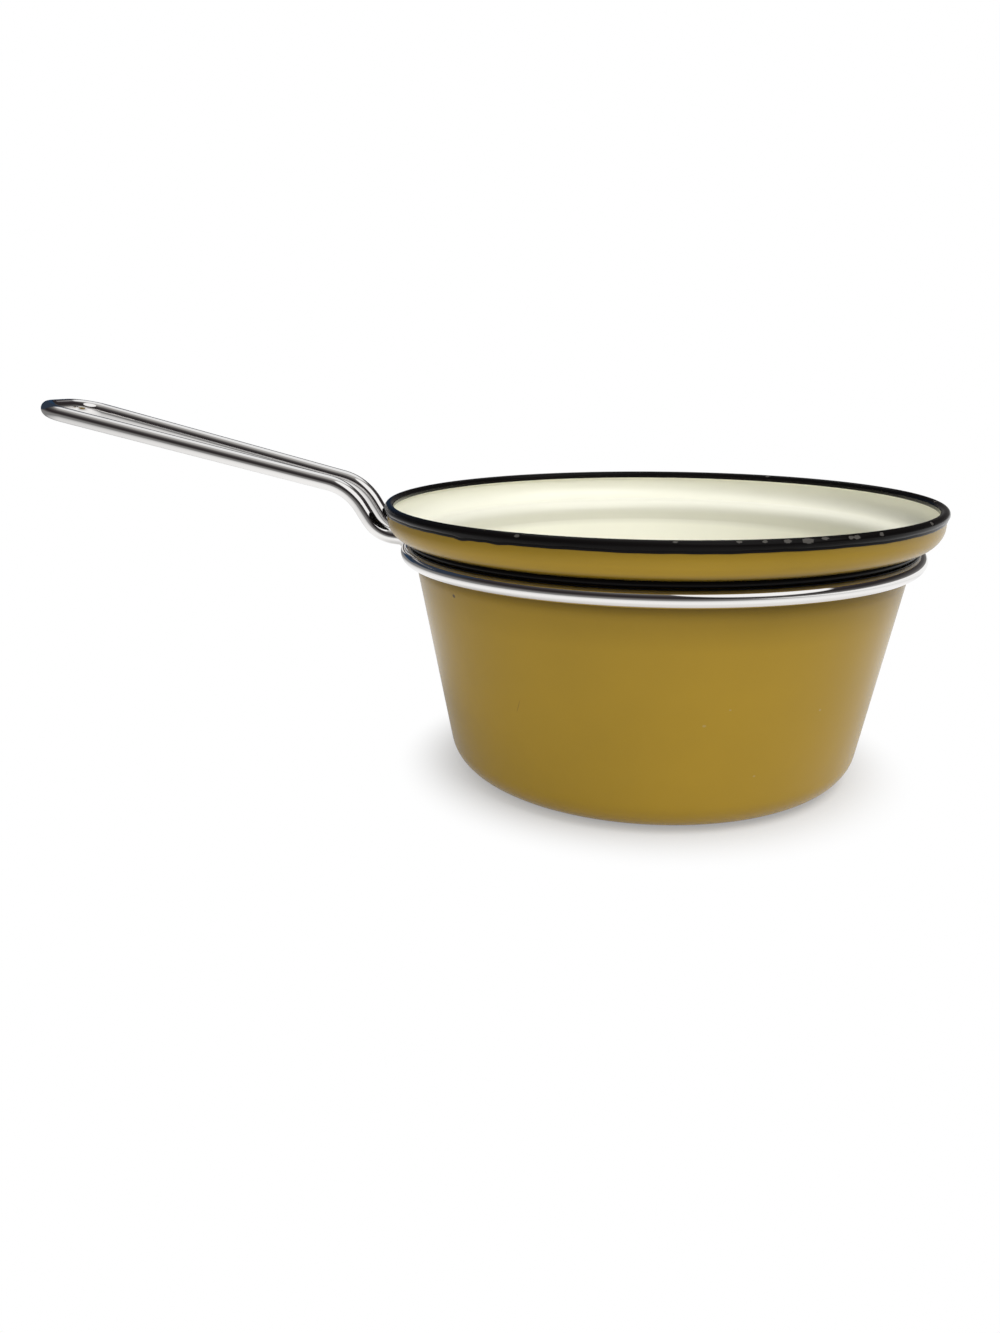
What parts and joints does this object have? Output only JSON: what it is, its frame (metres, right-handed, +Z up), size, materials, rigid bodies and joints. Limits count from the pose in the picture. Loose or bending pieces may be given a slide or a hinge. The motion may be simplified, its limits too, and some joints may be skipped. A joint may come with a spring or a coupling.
{
  "type": "double boiler",
  "caption": "Enamelled double boiler: a tapered water pan held in a chromed wire hoop with a loop handle, and a flanged insert pan seated on its lip.",
  "frame": {"origin": "centre of the water pan's flat base, on the surface that it stands on", "axes": "+Z up along the pans' common axis; -X along the handle, from the pans' axis to the handle's outer end; +Y to the left when looking along +X"},
  "size_m": [0.3712, 0.216, 0.1465],
  "materials": {
    "mustard_enamel": "glossy glass enamel on pressed steel",
    "cream_enamel": "glossy glass enamel",
    "black_enamel": "glossy glass enamel, chipped along its edge",
    "chromed_rod": "polished chrome plate on steel rod",
    "chromed_weld": "chrome plate over weld metal"
  },
  "bodies": {
    "cradle": {"water_pan": "mustard_enamel", "water_pan_lining": "cream_enamel", "water_pan_black_edge": "black_enamel", "cradle_hoop": "chromed_rod", "hoop_weld": "chromed_weld", "handle_loop": "chromed_rod", "handle_welds": "chromed_weld"},
    "insert": {"insert_pan": "mustard_enamel", "insert_lining": "cream_enamel", "insert_black_edge": "black_enamel"}
  },
  "joints": [
    {"name": "insert_lift", "type": "slide", "parent": "cradle", "child": "insert", "axis": [0, 0, 1], "range_m": [0, 0.12]}
  ]
}
